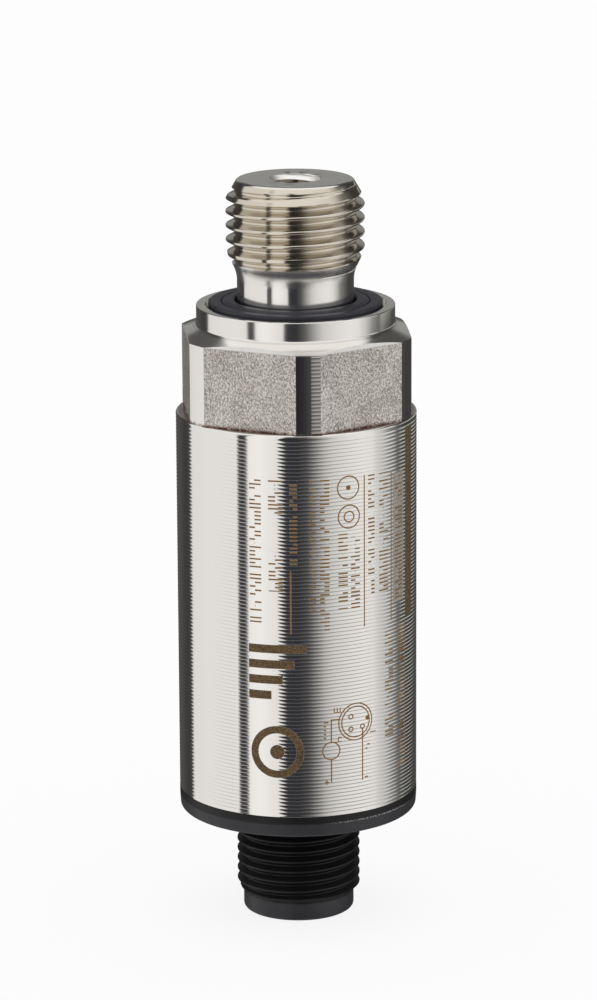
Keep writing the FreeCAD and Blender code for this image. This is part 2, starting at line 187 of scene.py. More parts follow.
def pick_rims(piece, rims):
    """Selects the open rims of a piece, each given as (height, least radius, greatest radius)."""
    bpy.ops.object.mode_set(mode="EDIT")
    bpy.ops.mesh.select_mode(type="EDGE")
    bpy.ops.mesh.select_all(action="SELECT")
    bpy.ops.mesh.region_to_loop()
    bpy.ops.object.mode_set(mode="OBJECT")
    vertices = piece.data.vertices
    open_edges = [edge for edge in piece.data.edges if edge.select]
    for part in (piece.data.polygons, piece.data.edges, vertices):
        part.foreach_set("select", [False] * len(part))
    for edge in open_edges:
        ends = [vertices[index] for index in edge.vertices]
        for height, least, greatest in rims:
            if all(abs(end.co.z / MM - height) < RIM_REACH
                   and least < math.hypot(end.co.x, end.co.y) / MM < greatest for end in ends):
                edge.select = ends[0].select = ends[1].select = True
    bpy.ops.object.mode_set(mode="EDIT")


def carry_rim(piece, rim, outline):
    """Carries an open rim on through the (radius, height) points of an outline."""
    pick_rims(piece, [rim])
    for radius, height in outline:
        bpy.ops.mesh.extrude_region_move()
        bpy.ops.object.mode_set(mode="OBJECT")
        for vertex in piece.data.vertices:
            if vertex.select:
                share = radius * MM / math.hypot(vertex.co.x, vertex.co.y)
                vertex.co = (vertex.co.x * share, vertex.co.y * share, height * MM)
        bpy.ops.object.mode_set(mode="EDIT")
    bpy.ops.object.mode_set(mode="OBJECT")


def fill_between(piece, outer, inner):
    """Closes the flat ring between two open rims."""
    pick_rims(piece, [outer, inner])
    bpy.ops.mesh.fill()
    bpy.ops.object.mode_set(mode="OBJECT")


def close_up(piece, smooth_angle):
    """Last steps on a turned piece: faces outwards, and smooth shading between sharp edges."""
    bpy.ops.object.select_all(action="DESELECT")
    piece.select_set(True)
    bpy.context.view_layer.objects.active = piece
    bpy.ops.object.mode_set(mode="EDIT")
    bpy.ops.mesh.select_mode(type="VERT")
    bpy.ops.mesh.select_all(action="SELECT")
    bpy.ops.mesh.remove_doubles(threshold=WELD)
    bpy.ops.mesh.normals_make_consistent(inside=False)
    bpy.ops.object.mode_set(mode="OBJECT")
    bpy.ops.object.shade_smooth_by_angle(angle=math.radians(smooth_angle))


class Socket:
    """Output of a shader node. Arithmetic on it adds Math nodes to the same node tree."""

    def __init__(self, finish, output):
        self.finish = finish
        self.output = output

    def math(self, operation, *others):
        values = dict(enumerate((self,) + others))
        return self.finish.node("ShaderNodeMath", {"operation": operation}, values)

    def flipped(self, operation, first):
        return self.finish.node("ShaderNodeMath", {"operation": operation}, {0: first, 1: self})

    def __add__(self, other):
        return self.math("ADD", other)

    def __sub__(self, other):
        return self.math("SUBTRACT", other)

    def __mul__(self, other):
        return self.math("MULTIPLY", other)

    def __truediv__(self, other):
        return self.math("DIVIDE", other)

    def __rsub__(self, other):
        return self.flipped("SUBTRACT", other)

    __radd__ = __add__
    __rmul__ = __mul__

    def above(self, low, high):
        """0 below low, 1 above high and a smooth rise between them; falls if high is less."""
        places = {"Value": self, "From Min": low, "From Max": high}
        return self.finish.node("ShaderNodeMapRange", {"interpolation_type": "SMOOTHSTEP"}, places)

    def between(self, low, high, soft):
        """1 between two values and 0 outside them, with edges twice as wide as soft."""
        return self.above(low - soft, low + soft) * self.above(high + soft, high - soft)


class Finish:
    """A node tree that is filled from expressions: a material's, or the world's."""

    def __init__(self, owner):
        owner.use_nodes = True
        self.owner = owner
        self.tree = owner.node_tree
        self.tree.nodes.clear()

    def node(self, kind, settings=None, inputs=None, output=0):
        """Adds a node: its settings first, then the values or links of its sockets."""
        made = self.tree.nodes.new(kind)
        for name, value in (settings or {}).items():
            if name == "stops":
                for index, (place, colour) in enumerate(value):
                    if index > 1:
                        made.color_ramp.elements.new(place)
                    made.color_ramp.elements[index].position = place
                    made.color_ramp.elements[index].color = (*colour, 1)
            else:
                setattr(made, name, value)
        for name, value in (inputs or {}).items():
            if isinstance(value, Socket):
                self.tree.links.new(value.output, made.inputs[name])
            else:
                made.inputs[name].default_value = value
        return Socket(self, made.outputs[output])

    def place(self):
        """X, Y and Z of the shaded point, in millimetres."""
        point = self.node("ShaderNodeTexCoord", output=3)
        scaled = self.node("ShaderNodeVectorMath", {"operation": "SCALE"},
                           {0: point, "Scale": 1 / MM})
        return [self.node("ShaderNodeSeparateXYZ", None, {0: scaled}, axis) for axis in range(3)]

    def noise(self, size, detail=3.0, roughness=0.6, stretch=(1, 1, 1)):
        """Noise with grains of that size in millimetres, longer along the stretched axes."""
        scale = [1 / (size * MM * share) for share in stretch]
        point = self.node("ShaderNodeTexCoord", output=3)
        mapped = self.node("ShaderNodeMapping", None, {0: point, "Scale": scale})
        return self.node("ShaderNodeTexNoise", None,
                         {"Vector": mapped, "Scale": 1.0, "Detail": detail,
                          "Roughness": roughness})

    def mix(self, share, first, second):
        """Colour between two colours."""
        colours = {0: share, 6: first, 7: second}
        for index in (6, 7):
            if not isinstance(colours[index], Socket):
                colours[index] = (*colours[index], 1)
        return self.node("ShaderNodeMix", {"data_type": "RGBA"}, colours, 2)

    def bump(self, height, depth, under=None):
        """Surface relief from a height of 0 to 1 and its real depth in millimetres."""
        inputs = {"Height": height, "Distance": depth * MM}
        if under:
            inputs["Normal"] = under
        return self.node("ShaderNodeBump", None, inputs)

    def surface(self, **inputs):
        """Closes a material with one Principled BSDF; words stand for its sockets' names."""
        named = {name.replace("_", " ").title().replace("Ior", "IOR"): value
                 for name, value in inputs.items()}
        if not isinstance(named["Base Color"], Socket):
            named["Base Color"] = (*named["Base Color"], 1)
        shader = self.node("ShaderNodeBsdfPrincipled", None, named)
        self.end("ShaderNodeOutputMaterial", shader)
        return self.owner

    def end(self, kind, shader):
        """Links the shader to the tree's output."""
        output = self.tree.nodes.new(kind)
        self.tree.links.new(shader.output, output.inputs[0])


def material(name):
    return Finish(bpy.data.materials.new(name))


def strongest(masks):
    """Highest of several masks."""
    top = masks[0]
    for mask in masks[1:]:
        top = top.math("MAXIMUM", mask)
    return top


ROUND_STEPS = 144
SEAL_GROOVE_RADIUS = 8.602
SEAL_GROOVE_FLOOR = -1.1
COLLAR_RADIUS = 9.452
COLLAR_HEIGHT = 1.82
BODY_RADIUS = 11.5
FLAT_RADIUS = 10.5
HEXAGON_CONE = math.tan(math.radians(22.5))
HEXAGON_TIP = -COLLAR_HEIGHT - (BODY_RADIUS - COLLAR_RADIUS) * HEXAGON_CONE
HEXAGON_END = -10.25
SPIGOT_RADIUS = 10.67
SPIGOT_END = -14.5
POCKET_RADIUS = 9.1
POCKET_FLOOR = -6.0
O_RING_OUTER = 7.7
O_RING_INNER = 5.7
O_RING_FLOOR = -4.9
CHAMBER_RADIUS = 5.2
CHAMBER_FLOOR = -5.6
BORE_RADIUS = 1.5
BORE_TOP = 3.64

port_body = lathe("port_body", rounded([
    (SEAL_GROOVE_RADIUS, SEAL_GROOVE_FLOOR), (SEAL_GROOVE_RADIUS, 0),
    (COLLAR_RADIUS, 0, 0.1), (COLLAR_RADIUS, -COLLAR_HEIGHT, 0.2),
    (BODY_RADIUS, HEXAGON_TIP), (BODY_RADIUS, HEXAGON_END),
    (SPIGOT_RADIUS, HEXAGON_END), (SPIGOT_RADIUS, SPIGOT_END, 0.2),
    (POCKET_RADIUS, SPIGOT_END), (POCKET_RADIUS, POCKET_FLOOR),
    (O_RING_OUTER, POCKET_FLOOR), (O_RING_OUTER, O_RING_FLOOR),
    (O_RING_INNER, O_RING_FLOOR), (O_RING_INNER, POCKET_FLOOR),
    (CHAMBER_RADIUS, POCKET_FLOOR), (CHAMBER_RADIUS, CHAMBER_FLOOR),
    (BORE_RADIUS, CHAMBER_FLOOR), (BORE_RADIUS, BORE_TOP),
], 6), ROUND_STEPS, closed=False)

# The flats are milled to FLAT_RADIUS. What is left of the round between two flats is a land,
# and a flat's upper edge is the curve in which it meets the cone below the collar.
land_edge = math.degrees(math.acos(FLAT_RADIUS / BODY_RADIUS))
for vertex in port_body.data.vertices:
    radius = math.hypot(vertex.co.x, vertex.co.y) / MM
    if radius < BODY_RADIUS - 0.01:
        continue
    angle = math.degrees(math.atan2(vertex.co.y, vertex.co.x))
    middle = 60 * round(angle / 60)
    aside = angle - middle
    if abs(abs(aside) - land_edge) < 180 / ROUND_STEPS:
        aside = math.copysign(land_edge, aside)
    radius = min(BODY_RADIUS, FLAT_RADIUS / math.cos(math.radians(aside)))
    turn = math.radians(middle + aside)
    vertex.co.x = radius * math.cos(turn) * MM
    vertex.co.y = radius * math.sin(turn) * MM
    if vertex.co.z > (HEXAGON_END + 0.1) * MM:
        vertex.co.z = (-COLLAR_HEIGHT - (radius - COLLAR_RADIUS) * HEXAGON_CONE) * MM


# The stud's G1/4 thread. Its skin is cut at THREAD_CUT and carried on round the stud's edge.
STUD_LENGTH = 12.0
STUD_END_RADIUS = 5.5
STUD_EDGE_ROUND = 0.45
END_CHAMFER = math.tan(math.radians(30))
THREAD_CUT = STUD_LENGTH - 0.25
G14_PITCH = 1.337
G14_HEIGHT = 8.283              # a crest passes +X here
G14_FLANK = 27.5
G14_CREST = 6.5785
G14_ROOT = 5.722
G14_ROUND = 0.1837
FIRST_CREST = 6.395             # radius of the lowest crest, which isn't full
FIRST_CREST_HEIGHT = 4.8
FIRST_CREST_RISE = 0.23
NECK_RADIUS = 5.55
NECK_TOP = 2.35
RUN_OUT_FOOT = 3.05             # where the run-out's cone would meet the neck
RUN_OUT_SLOPE = 0.483
RUN_OUT_CURVE = RUN_OUT_FOOT - NECK_TOP


def stud_ends(height, radius):
    """End chamfer, and the run-out: a cone that curves into the neck below the first crest."""
    chamfer = STUD_END_RADIUS + (STUD_LENGTH - height) * END_CHAMFER
    above_foot = max(height - RUN_OUT_FOOT, -RUN_OUT_CURVE)
    rise = above_foot
    if above_foot < RUN_OUT_CURVE:
        rise = (above_foot + RUN_OUT_CURVE) ** 2 / (4 * RUN_OUT_CURVE)
    first_crest = FIRST_CREST + FIRST_CREST_RISE * (height - FIRST_CREST_HEIGHT)
    run_out = min(NECK_RADIUS + RUN_OUT_SLOPE * rise, first_crest)
    return min(radius, chamfer, max(run_out, NECK_RADIUS))


g14_tooth = thread_tooth(G14_CREST, G14_ROOT, G14_PITCH, G14_FLANK, G14_ROUND, G14_ROUND, 6)
stud_thread = helical_thread("stud_thread", g14_tooth, G14_HEIGHT - 5 * G14_PITCH, G14_PITCH,
                             9, ROUND_STEPS, stud_ends, NECK_TOP, THREAD_CUT)

# The M5 tapping, its countersink, and the drill's point that leads to the pressure bore.
METRIC_FLANK = 30
TAP_RADIUS = 2.1
TAP_MOUTH_RADIUS = 2.5
TAP_PITCH = 0.8
TAP_HEIGHT = 3.3
TAP_CUT = STUD_LENGTH - 0.005
TAP_END = 4.4
TAP_RUN_OUT = 0.3
TAP_FLOOR = 4.0
POINT_RADIUS = 1.6


def tapping_ends(height, radius):
    """Countersink at the mouth, and the plain drilling below the last thread."""
    countersink = TAP_MOUTH_RADIUS - (STUD_LENGTH - height)
    if height < TAP_END + TAP_RUN_OUT:
        return TAP_RADIUS
    return max(radius, min(countersink, TAP_MOUTH_RADIUS))


tap_tooth = thread_tooth(TAP_RADIUS, TAP_MOUTH_RADIUS, TAP_PITCH, METRIC_FLANK, 0.115, 0.06, 3)
tapping_thread = helical_thread("tapping_thread", tap_tooth, TAP_HEIGHT, TAP_PITCH,
                                12, ROUND_STEPS // 2, tapping_ends, TAP_END, TAP_CUT)

port = join_pieces("threaded_port", [port_body, stud_thread, tapping_thread])
carry_rim(port, (NECK_TOP, 5, 6), [(NECK_RADIUS, SEAL_GROOVE_FLOOR)])
fill_between(port, (SEAL_GROOVE_FLOOR, 8.5, 8.7), (SEAL_GROOVE_FLOOR, 5, 6))
carry_rim(port, (TAP_END, 2, 3), [(TAP_RADIUS, TAP_FLOOR), (POINT_RADIUS, BORE_TOP)])
fill_between(port, (BORE_TOP, 1.55, 1.7), (BORE_TOP, 1.4, 1.53))
carry_rim(port, (TAP_CUT, 2, 3), [(TAP_MOUTH_RADIUS, STUD_LENGTH)])
stud_edge = rounded([(5.64, STUD_LENGTH - 0.24), (STUD_END_RADIUS, STUD_LENGTH, STUD_EDGE_ROUND),
                     (4, STUD_LENGTH)], 7)
carry_rim(port, (THREAD_CUT, 5, 6), stud_edge[1:-1])
fill_between(port, (STUD_LENGTH, 5, 5.5), (STUD_LENGTH, 2.4, 2.6))
close_up(port, 18)

BRIGHT_STEEL = (0.80, 0.785, 0.76)
# Lighter steel colour, used as a painted highlight on the cone and the countersink.
PAINTED_HIGHLIGHT_STEEL = (0.93, 0.92, 0.90)
THREAD_STEEL = (0.66, 0.61, 0.53)
# Darker steel colour, used as painted shade inside the tapping.
TAPPING_PAINTED_SHADE = (0.42, 0.37, 0.31)
PAINTED_DARK_REFLECTION_STEEL = (0.36, 0.36, 0.38)
WELD_BROWN = (0.16, 0.06, 0.03)
LAND_FEED = 0.36
LAND_LINE_DEPTH = 0.028
PEEL_DEPTH = 0.045

steel = material("turned_steel")
x, y, z = steel.place()
from_axis = (x * x + y * y).math("SQRT")

# The flats, by their distance from the axis across the hexagon, with a coarse matt grain.
across = strongest([(x * math.cos(turn) + y * math.sin(turn)).math("ABSOLUTE")
                    for turn in (0, math.radians(60), math.radians(120))])
flats = (across.above(FLAT_RADIUS - 0.012, FLAT_RADIUS - 0.002)
         * z.above(HEXAGON_END - 0.05, HEXAGON_END + 0.05))
grain = steel.noise(0.15, 3.0, 0.75, (0.9, 0.9, 1.3))
worn = steel.noise(2.4, 2.0)
speckle = (grain + worn * 0.12).above(0.42, 0.7)
flat_colour = steel.mix(speckle, (0.28, 0.255, 0.23), (0.89, 0.86, 0.81))

# The other places that differ: weld, run-out, cone above the flats, countersink and threads. The
# cone and the countersink are lightened with a painted highlight, and the tapping is darkened with
# painted shade.
weld_tint = z.above(HEXAGON_END + 0.3, HEXAGON_END + 0.05) * steel.noise(0.5).above(0.3, 0.6)
run_out = z.between(2.5, 4.3, 0.15) * from_axis.above(5.0, 5.3)
cone = z.between(HEXAGON_TIP - 0.02, -COLLAR_HEIGHT - 0.16, 0.02) * from_axis.above(9.5, 9.7)
front_and_back = x.between(-4, 4, 1)
tip = cone * from_axis.above(10.6, 11.1) * front_and_back
in_hole = from_axis.above(TAP_MOUTH_RADIUS + 0.1, TAP_MOUTH_RADIUS + 0.05)
mouth = z.between(STUD_LENGTH - 0.54, STUD_LENGTH - 0.01, 0.01) * in_hole
tapping = z.above(STUD_LENGTH - 0.5, STUD_LENGTH - 0.6) * in_hole
threaded = z.between(4.2, STUD_LENGTH - 0.13, 0.1) * from_axis.above(5.0, 5.3)
end_face = z.above(STUD_LENGTH - 0.02, STUD_LENGTH - 0.003)
metal = steel.mix(threaded, BRIGHT_STEEL, THREAD_STEEL)
metal = steel.mix(flats, metal, flat_colour)
# Painted highlight: the cone above the flats and the countersink at the mouth get the lighter
# steel colour.
metal = steel.mix(strongest([cone, mouth]), metal, PAINTED_HIGHLIGHT_STEEL)
# Painted shade: inside the tapping, the steel colour is darkened as if the bore were in shadow.
metal = steel.mix(tapping, metal, TAPPING_PAINTED_SHADE)
metal = steel.mix(weld_tint * 0.85, metal, WELD_BROWN)
# Turned lines at LAND_FEED are left on one side of the front and back lands. Their other side
# is smooth, with a painted dark reflection in its colour, and the other lands are smooth all over.
groove = (z / LAND_FEED).math("FRACT") * 2 - 1
turn = y.math("ARCTAN2", x) * (180 / math.pi)
from_corner = ((turn + 480) / 60).math("FRACT") * 60 - 30
lands = (from_axis.above(BODY_RADIUS - 0.2, BODY_RADIUS - 0.05)
         * z.above(HEXAGON_TIP - 0.03, HEXAGON_TIP - 0.18) * (1 - flats) * front_and_back)
lined = from_corner.above(0.9, 1.5)
# Painted dark reflection: the smooth side of the front and back lands gets a darker steel colour.
metal = steel.mix(lands * (1 - lined), metal, PAINTED_DARK_REFLECTION_STEEL)
turning = steel.bump(groove * groove * lands * lined, LAND_LINE_DEPTH)
peel = steel.bump(grain * flats, PEEL_DEPTH, turning)
port.data.materials.append(steel.surface(
    base_color=metal, metallic=1.0,
    roughness=(0.12 + flats * 0.33 + weld_tint * 0.2 + run_out * 0.08 + end_face * 0.12
               + tip * 0.24 + mouth * 0.3),
    normal=peel))
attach(port, "root")
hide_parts("pressure_port")


# ---- Profile seal --------------------------------------------------------------------------
# Moulded black rubber ring that lies in the collar's groove and stands a little proud of the
# sealing face. Its inner lip is higher, and a fine groove parts it from the outer one.

SEAL_INNER = 5.802
SEAL_OUTER = 8.252

seal = lathe("captive_seal", rounded([
    (SEAL_INNER, SEAL_GROOVE_FLOOR, 0.2), (SEAL_OUTER, SEAL_GROOVE_FLOOR, 0.2),
    (SEAL_OUTER, 0.38, 0.16), (7.12, 0.3, 0.05), (7.05, 0.14), (6.98, 0.3, 0.05),
    (6.6, 0.46, 0.3), (SEAL_INNER, 0.5, 0.2)]), ROUND_STEPS)
close_up(seal, 25)
rubber = material("seal_rubber")
cloud = rubber.noise(0.9)
seal.data.materials.append(rubber.surface(
    base_color=rubber.mix(cloud, (0.008, 0.009, 0.015), (0.022, 0.023, 0.036)),
    roughness=0.34 + cloud * 0.2, normal=rubber.bump(rubber.noise(0.12), 0.004)))
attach(seal, "root")
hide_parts("profile_seal")


# ---- Housing sleeve ------------------------------------------------------------------------
# Stainless tube, turned all over with a round-nosed tool at a coarse feed, so that it is
# covered with fine grooves. Welded to the hexagon's shoulder, which is tinted by the heat.

SLEEVE_TOP = HEXAGON_END
SLEEVE_END = -47.5
SLEEVE_RADIUS = 11.492
SLEEVE_BORE = 10.7
GROOVE_COUNT = 102
GROOVE_TOP = -10.6
GROOVE_END = -47.35
GROOVE_PITCH = (GROOVE_TOP - GROOVE_END) / GROOVE_COUNT
GROOVE_DEPTH = 0.028
GROOVE_POINTS = 6


def grooved_radius(height):
    """Radius of the sleeve at a height: a row of shallow round grooves."""
    place = (GROOVE_TOP - height) / GROOVE_PITCH
    if not 0 <= place <= GROOVE_COUNT:
        return SLEEVE_RADIUS
    share = 2 * (place % 1) - 1
    return SLEEVE_RADIUS - GROOVE_DEPTH * (1 - share * share)


grooves = [(SLEEVE_BORE, SLEEVE_TOP), (SLEEVE_RADIUS, SLEEVE_TOP, 0.25)]
for index in range(GROOVE_COUNT * GROOVE_POINTS + 1):
    height = GROOVE_TOP - index * GROOVE_PITCH / GROOVE_POINTS
    grooves.append((grooved_radius(height), height))
grooves += [(SLEEVE_RADIUS, SLEEVE_END, 0.1), (SLEEVE_BORE, SLEEVE_END)]
sleeve = lathe("grooved_sleeve", rounded(grooves, 5), 128)
close_up(sleeve, 25)

sleeve_steel = material("grooved_steel")
x, y, z = sleeve_steel.place()
from_axis = (x * x + y * y).math("SQRT")
cloud = sleeve_steel.noise(1.5)
scorch = z.above(SLEEVE_TOP - 0.17, SLEEVE_TOP - 0.03) * from_axis.above(11.42, 11.2)

# The laser marking lies on the same side as the connector's key. Its places are (arc, height)
# in millimetres, with the arc measured round the sleeve from the marking's middle to the right.
MARKING_TURN = math.radians(-95.7)
facing = x * math.cos(MARKING_TURN) + y * math.sin(MARKING_TURN)
beside = y * math.cos(MARKING_TURN) - x * math.sin(MARKING_TURN)
arc = beside.math("ARCTAN2", facing) * SLEEVE_RADIUS
EDGE = 0.02
STROKE = 0.13
TICK_FEED = 0.38


def box_mark(left, right, low, high):
    """Filled rectangle."""
    return arc.between(left, right, EDGE) * z.between(low, high, EDGE)


def ring_mark(arc_middle, height, radius, stroke):
    """Circle drawn with a stroke; a disc if the stroke is twice the radius."""
    along, up = arc - arc_middle, z - height
    reach = (along * along + up * up).math("SQRT")
    return reach.between(radius - stroke / 2, radius + stroke / 2, EDGE)


# Rows of plain ticks of uneven length: (left, right, low, high).
rows = [
    (-4.58, -3.41, -28.4, -14.5), (-2.72, -1.33, -17.8, -14.5), (-2.72, -1.33, -25.3, -21.4),
    (-0.70, 0.04, -22.9, -14.4), (1.18, 1.77, -27.5, -14.4), (2.16, 3.10, -29.3, -14.5),
    (3.95, 4.93, -27.2, -19.9), (5.24, 6.22, -27.3, -20.0), (7.16, 7.95, -26.3, -14.4),
    (8.51, 9.75, -26.1, -14.6), (9.26, 10.49, -40.7, -30.2), (11.2, 12.4, -44.0, -29.8),
    (10.75, 12.1, -27.3, -15.3), (2.45, 2.95, -40.0, -38.0),
    (6.78, 7.3, -41.5, -40.5)]
inside, across, seed = 0, 0, 0
for number, (left, right, low, high) in enumerate(rows):
    row = box_mark(left, right, low, high)
    inside = row + inside
    across = row * (arc - left) / (right - left) + across
    seed = row * number + seed
step = z / TICK_FEED
chance = sleeve_steel.node("ShaderNodeTexWhiteNoise", {"noise_dimensions": "2D"}, {
    "Vector": sleeve_steel.node("ShaderNodeCombineXYZ", None,
                                {0: step.math("FLOOR"), 1: seed.math("ROUND")})}, 1)
first, second, third = [sleeve_steel.node("ShaderNodeSeparateXYZ", None, {0: chance}, axis)
                        for axis in range(3)]
tick_from = first.above(0.64, 0.66) * 0.45
tick_to = 1 - second.above(0.69, 0.71) * 0.5
ticks = (inside * step.math("FRACT").between(0.31, 0.7, 0.06) * third.above(0.11, 0.13)
         * (across - tick_from).above(-0.02, 0.02) * (tick_to - across).above(-0.02, 0.02))

# Thin lines, the plain circles and the pin diagram with its digits 3, 1 and 4.
lines = [ticks] + [box_mark(*place) for place in (
    (-0.67, -0.55, -29.4, -23.3), (6.66, 6.78, -29.2, -14.5), (10.13, 10.27, -29.1, -14.7),
    (12.62, 12.76, -44.2, -29.8), (3.14, 3.27, -40.15, -37.9), (3.14, 4.0, -38.03, -37.9),
    (3.14, 3.27, -44.15, -41.85), (6.41, 6.54, -44.3, -39.2),
    (2.5, 3.0, -44.16, -44.04), (2.69, 2.81, -44.35, -43.85), (6.72, 7.1, -44.1, -43.98))]
lines += [ring_mark(*place) for place in (
    (5.0, -15.5, 1.1, STROKE), (5.0, -15.5, 0.12, 0.24), (5.07, -18.3, 1.1, STROKE),
    (5.07, -18.3, 0.5, STROKE), (5.75, -38.4, 1.8, STROKE), (5.75, -38.4, 1.5, STROKE),
    (5.21, -37.85, 0.22, STROKE), (5.21, -39.1, 0.22, STROKE), (6.47, -38.98, 0.22, STROKE),
    (3.2, -41.0, 0.85, STROKE), (7.05, -38.2, 0.12, 0.24))]
FULL, HALF, WIDE, PEN = 0.6, 0.3, 0.42, 0.05
for foot, start, strokes in (
        (3.5, -36.85, ((0, 0, 0, WIDE), (HALF, HALF, 0, WIDE), (FULL, FULL, 0, WIDE),
                       (0, FULL, WIDE, WIDE))),
        (7.4, -39.7, ((0, FULL, 0, 0),)),
        (3.6, -39.75, ((HALF, FULL, 0, 0), (HALF, HALF, 0, WIDE), (0, FULL, WIDE, WIDE)))):
    for low, high, left, right in strokes:
        lines.append(box_mark(foot + low - PEN, foot + high + PEN,
                              start - right - PEN, start - left + PEN))

# Filled shapes, speckled by the laser's pulses: a stair of four bars, a ring round a disc,
# and the strips on the right.
etch = sleeve_steel.noise(0.16, 2.0).above(0.3, 0.7)
fills = [box_mark(-4.72, right, high - 0.82, high)
         for right, high in ((0.83, -30.5), (-0.3, -32.0), (-1.4, -33.5), (-2.5, -35.0))]
fills += [ring_mark(-1.97, -41.0, 2.2, 0.72), ring_mark(-1.97, -41.0, 0.35, 0.7),
          box_mark(12.71, 14.3, -29.4, -10.9),
          box_mark(10.45, 12.4, -27.6, -15.0) * (0.35 + etch * 0.4)]
filled = strongest(fills)
marked = strongest([filled] + lines)
FILL_BROWN = (0.16, 0.10, 0.048)
FILL_DARK = (0.06, 0.038, 0.018)
LINE_BROWN = (0.21, 0.105, 0.02)
burnt = sleeve_steel.mix(filled, LINE_BROWN, sleeve_steel.mix(etch, FILL_BROWN, FILL_DARK))
metal = sleeve_steel.mix(scorch * 0.8, BRIGHT_STEEL, WELD_BROWN)
sleeve.data.materials.append(sleeve_steel.surface(
    base_color=sleeve_steel.mix(marked, metal, burnt), metallic=1 - marked * 0.85,
    roughness=0.055 + cloud * 0.05 + marked * 0.42, specular_ior_level=0.25))
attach(sleeve, "root")
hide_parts("housing_sleeve")


# ---- End cap and connector shell -----------------------------------------------------------
# One moulding in black glass-filled plastic: the cap, the plug inside the sleeve and the
# M12 x 1 shell with its key. The mould's parting line runs round the cap's side.

CAP_END = -49.5
CONNECTOR_END = -60.0

# The shell's M12 thread, and the smooth end that it leads out to.
SHELL_RADIUS = 5.36
SHELL_EDGE_ROUND = 0.4
M12_PITCH = 1.0
M12_HEIGHT = -53.554
M12_CREST = 5.97
M12_ROOT = 5.42
M12_CUT = -58.2
LEAD_OUT_END = -58.15


def shell_end(height, radius):
    """Lead-out of the thread to the smooth end."""
    return min(radius, max(SHELL_RADIUS, SHELL_RADIUS + height - LEAD_OUT_END))


m12_tooth = thread_tooth(M12_CREST, M12_ROOT, M12_PITCH, METRIC_FLANK, 0.13, 0.1, 5)
shell_thread = helical_thread("shell_thread", m12_tooth, M12_HEIGHT - 7 * M12_PITCH, M12_PITCH,
                              14, ROUND_STEPS, shell_end, M12_CUT, CAP_END)

# The cap, its plug in the sleeve with the O-ring's groove, and the cavity for the pins.
CAP_RADIUS = 11.495
CAP_FOOT_RADIUS = 11.415
PARTING_LINE = -48.2
PARTING_DEPTH = 0.04
PARTING_REACH = 0.03
PLUG_RADIUS = 10.62
PLUG_TOP = -43.0
PLUG_BORE = 8.62
RING_GROOVE_RADIUS = 9.52
RING_GROOVE_TOP = -44.3
RING_GROOVE_END = -46.2
CAVITY_RADIUS = 4.3
CAVITY_MOUTH_RADIUS = 4.5
CAVITY_CHAMFER = -59.8
KEY_TOP = -52.0
KEY_END = -59.4
KEY_HALF_WIDTH = 0.57
KEY_DEPTH = 0.6

cap_body = lathe("cap_body", rounded([
    (6.3, CAP_END), (CAP_FOOT_RADIUS, CAP_END, 0.4), (CAP_RADIUS, PARTING_LINE - PARTING_REACH),
    (CAP_RADIUS - PARTING_DEPTH, PARTING_LINE), (CAP_RADIUS, PARTING_LINE + PARTING_REACH),
    (CAP_RADIUS, SLEEVE_END), (PLUG_RADIUS, SLEEVE_END),
    (PLUG_RADIUS, RING_GROOVE_END), (RING_GROOVE_RADIUS, RING_GROOVE_END),
    (RING_GROOVE_RADIUS, RING_GROOVE_TOP), (PLUG_RADIUS, RING_GROOVE_TOP),
    (PLUG_RADIUS, PLUG_TOP, 0.2), (PLUG_BORE, PLUG_TOP), (PLUG_BORE, SLEEVE_END),
    (CAVITY_RADIUS, SLEEVE_END), (CAVITY_RADIUS, KEY_TOP), (CAVITY_RADIUS, KEY_END),
    (CAVITY_RADIUS, CAVITY_CHAMFER), (CAVITY_MOUTH_RADIUS, CONNECTOR_END),
], 6), ROUND_STEPS, closed=False)

# The key stands out of the cavity's wall, on the -Y side.
bpy.ops.object.mode_set(mode="EDIT")
bpy.ops.mesh.select_mode(type="FACE")
bpy.ops.mesh.select_all(action="DESELECT")
bpy.ops.object.mode_set(mode="OBJECT")
for face in cap_body.data.polygons:
    middle = face.center / MM
    face.select = (KEY_END < middle.z < KEY_TOP and abs(middle.x) < KEY_HALF_WIDTH
                   and -CAVITY_RADIUS - 0.01 < middle.y < -CAVITY_RADIUS + 0.3)
bpy.ops.object.mode_set(mode="EDIT")
bpy.ops.mesh.extrude_region_move(TRANSFORM_OT_translate={"value": (0, KEY_DEPTH * MM, 0)})
bpy.ops.object.mode_set(mode="OBJECT")

housing = join_pieces("cap_and_shell", [cap_body, shell_thread])
fill_between(housing, (CAP_END, 6.2, 6.4), (CAP_END, 5, 6.1))
shell_edge = rounded([(SHELL_RADIUS, M12_CUT - 0.1),
                      (SHELL_RADIUS, CONNECTOR_END, SHELL_EDGE_ROUND), (4.9, CONNECTOR_END)])
carry_rim(housing, (M12_CUT, 5, 6), shell_edge[:-1])
fill_between(housing, (CONNECTOR_END, 4.9, 5.1), (CONNECTOR_END, 4.4, 4.6))
close_up(housing, 25)

plastic = material("black_plastic")
x, y, z = plastic.place()
cloud = plastic.noise(2.0)
fibres = plastic.noise(0.15, 2.0, 0.5)
body = plastic.mix(cloud, (0.019, 0.019, 0.022), (0.037, 0.037, 0.042))
# Painted shade: the M12 thread and the cap's strip just under the sleeve's edge are coloured
# near-black, standing in for shade in the thread's grooves and in the gap under the sleeve.
painted_shade_thread_and_strip = strongest([z.between(M12_CUT - 0.05, CAP_END - 0.1, 0.05),
                                   z.above(PARTING_LINE, PARTING_LINE + 0.1)])
body = plastic.mix(painted_shade_thread_and_strip, body, (0.0045, 0.0045, 0.005))
